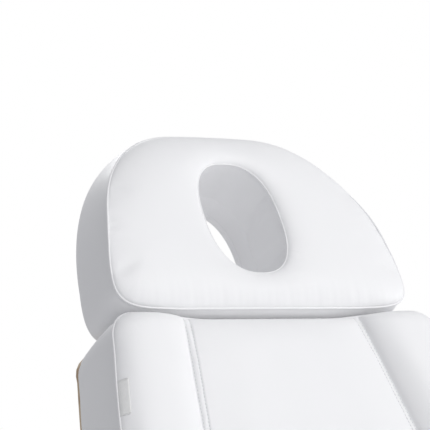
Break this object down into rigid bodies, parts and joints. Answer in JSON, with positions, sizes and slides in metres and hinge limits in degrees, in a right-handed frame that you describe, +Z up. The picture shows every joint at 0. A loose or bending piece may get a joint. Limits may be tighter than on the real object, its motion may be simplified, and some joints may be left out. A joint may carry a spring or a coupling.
{
  "type": "facial treatment bed",
  "caption": "White upholstered treatment bed with a face-hole headrest, tilting back and leg panels and a parallelogram lift driven by electric actuators.",
  "frame": {"origin": "centre of the bed's outer box on the floor, in the stored pose", "axes": "+Y towards the head end, +Z up, +X across the bed to the handset side"},
  "size_m": [0.6756, 1.4854, 1.3742],
  "materials": {
    "white_vinyl": "soft satin white upholstery vinyl",
    "raw_plywood": "raw birch plywood",
    "frame_paint": "light grey powder coat",
    "bright_steel": "bright turned steel",
    "grey_casing": "light grey moulded plastic",
    "dark_plastic": "black moulded plastic",
    "black_rubber": "black rubber"
  },
  "bodies": {
    "base": {"base_frame": "frame_paint", "rubber_foot_foot_end_left": "black_rubber", "rubber_foot_foot_end_right": "black_rubber", "rubber_foot_head_end_left": "black_rubber", "rubber_foot_head_end_right": "black_rubber", "lower_front_shaft": "bright_steel", "lower_rear_shaft": "bright_steel", "lift_tail_pin": "bright_steel"},
    "front_arms": {"front_lift_arms": "frame_paint"},
    "rear_arms": {"rear_lift_arms": "frame_paint"},
    "seat": {"seat_cushion": "white_vinyl", "seat_board": "raw_plywood", "seat_frame": "frame_paint", "back_hinge_pin_left": "bright_steel", "back_hinge_pin_right": "bright_steel", "leg_hinge_shaft": "bright_steel", "upper_front_pin_left": "bright_steel", "upper_front_pin_right": "bright_steel", "upper_rear_pin_left": "bright_steel", "upper_rear_pin_right": "bright_steel", "back_tail_pin": "bright_steel", "leg_tail_pin": "bright_steel", "control_box": "grey_casing", "mains_inlet": "dark_plastic", "handset_holder": "frame_paint"},
    "back": {"back_cushion": "white_vinyl", "back_board": "raw_plywood", "back_frame": "frame_paint", "hinge_cover_left": "grey_casing", "hinge_cover_right": "grey_casing"},
    "leg": {"leg_cushion": "white_vinyl", "leg_board": "raw_plywood", "leg_frame": "frame_paint"},
    "head_bars": {"head_carrier": "bright_steel", "head_hinge_pin": "bright_steel"},
    "headrest": {"head_cushion": "white_vinyl", "head_board": "raw_plywood", "head_hole_collar": "white_vinyl", "head_bracket": "frame_paint"},
    "tilt_knob": {"head_tilt_knob": "dark_plastic"},
    "lock_knob": {"head_lock_knob": "dark_plastic"},
    "back_actuator": {"back_gear_motor": "dark_plastic", "back_guide_tube": "grey_casing"},
    "back_rod": {"back_push_rod": "bright_steel"},
    "leg_actuator": {"leg_gear_motor": "dark_plastic", "leg_guide_tube": "grey_casing"},
    "leg_rod": {"leg_push_rod": "bright_steel"},
    "lift_actuator": {"lift_gear_motor": "dark_plastic", "lift_guide_tube": "grey_casing"},
    "lift_rod": {"lift_push_rod": "bright_steel"},
    "handset": {"handset": "grey_casing"},
    "back_rocker": {"back_rocker": "dark_plastic"},
    "leg_rocker": {"leg_rocker": "dark_plastic"},
    "lift_rocker": {"lift_rocker": "dark_plastic"}
  },
  "joints": [
    {"name": "lift", "type": "hinge", "parent": "base", "child": "front_arms", "pos_m": [0, 0.16778, 0.12], "axis": [-1, 0, 0], "range_deg": [-8, 40]},
    {"name": "rear_arm_swing", "type": "hinge", "parent": "base", "child": "rear_arms", "pos_m": [0, 0.43278, 0.12], "axis": [-1, 0, 0], "range_deg": [-8.1, 40.1]},
    {"name": "seat_levelling", "type": "hinge", "parent": "front_arms", "child": "seat", "pos_m": [0, -0.2418, 0.40679], "axis": [-1, 0, 0], "range_deg": [-40.1, 8.1]},
    {"name": "back_tilt", "type": "hinge", "parent": "seat", "child": "back", "pos_m": [0, 0.14578, 0.58], "axis": [1, 0, 0], "range_deg": [-58.5, 11.5]},
    {"name": "leg_tilt", "type": "hinge", "parent": "seat", "child": "leg", "pos_m": [0, -0.29022, 0.46], "axis": [1, 0, 0], "range_deg": [-35, 20]},
    {"name": "head_extension", "type": "slide", "parent": "back", "child": "head_bars", "axis": [0, 0.5225, 0.8526], "range_m": [0, 0.1]},
    {"name": "head_tilt", "type": "hinge", "parent": "head_bars", "child": "headrest", "pos_m": [0, 0.60051, 1.06368], "axis": [1, 0, 0], "range_deg": [-45, 3]},
    {"name": "tilt_knob_turn", "type": "hinge", "parent": "head_bars", "child": "tilt_knob", "pos_m": [0.134, 0.60051, 1.06368], "axis": [1, 0, 0], "range_deg": [0, 270]},
    {"name": "lock_knob_turn", "type": "hinge", "parent": "back", "child": "lock_knob", "pos_m": [0.085, 0.49623, 0.91647], "axis": [0, -0.8526, 0.5225], "range_deg": [0, 270]},
    {"name": "back_actuator_swing", "type": "hinge", "parent": "seat", "child": "back_actuator", "pos_m": [-0.07, -0.16422, 0.315], "axis": [1, 0, 0], "range_deg": [-3.7, 0.8]},
    {"name": "back_rod_stroke", "type": "slide", "parent": "back_actuator", "child": "back_rod", "axis": [0, 0.913, 0.4079], "range_m": [-0.1384, 0.0274]},
    {"name": "leg_actuator_swing", "type": "hinge", "parent": "seat", "child": "leg_actuator", "pos_m": [0.07, 0.05578, 0.414], "axis": [1, 0, 0], "range_deg": [-1.1, 1.8]},
    {"name": "leg_rod_stroke", "type": "slide", "parent": "leg_actuator", "child": "leg_rod", "axis": [0, -0.9999, -0.0131], "range_m": [-0.0203, 0.0354]},
    {"name": "lift_actuator_swing", "type": "hinge", "parent": "base", "child": "lift_actuator", "pos_m": [0, -0.31622, 0.103], "axis": [1, 0, 0], "range_deg": [-1.5, 7]},
    {"name": "lift_rod_stroke", "type": "slide", "parent": "lift_actuator", "child": "lift_rod", "axis": [0, 0.9825, 0.1862], "range_m": [-0.0147, 0.0726]},
    {"name": "handset_removal", "type": "slide", "parent": "seat", "child": "handset", "axis": [1, 0, 0], "range_m": [0, 0.05]},
    {"name": "back_rocker_press", "type": "hinge", "parent": "handset", "child": "back_rocker", "pos_m": [0.321, -0.16722, 0.423], "axis": [0, 1, 0], "range_deg": [-5, 5], "stiffness_Nm_per_rad": 0.4},
    {"name": "leg_rocker_press", "type": "hinge", "parent": "handset", "child": "leg_rocker", "pos_m": [0.321, -0.16722, 0.391], "axis": [0, 1, 0], "range_deg": [-5, 5], "stiffness_Nm_per_rad": 0.4},
    {"name": "lift_rocker_press", "type": "hinge", "parent": "handset", "child": "lift_rocker", "pos_m": [0.321, -0.16722, 0.359], "axis": [0, 1, 0], "range_deg": [-5, 5], "stiffness_Nm_per_rad": 0.4}
  ],
  "couplings": [
    {"joint": "rear_arm_swing", "follows": "lift", "ratio": 1},
    {"joint": "seat_levelling", "follows": "lift", "ratio": -1},
    {"joint": "lift_actuator_swing", "follows": "lift", "ratio": 0.171},
    {"joint": "lift_rod_stroke", "follows": "lift", "m_per_rad": 0.1037},
    {"joint": "back_actuator_swing", "follows": "back_tilt", "ratio": 0.061},
    {"joint": "back_rod_stroke", "follows": "back_tilt", "m_per_rad": 0.1353},
    {"joint": "leg_actuator_swing", "follows": "leg_tilt", "ratio": -0.049},
    {"joint": "leg_rod_stroke", "follows": "leg_tilt", "m_per_rad": -0.0576}
  ]
}
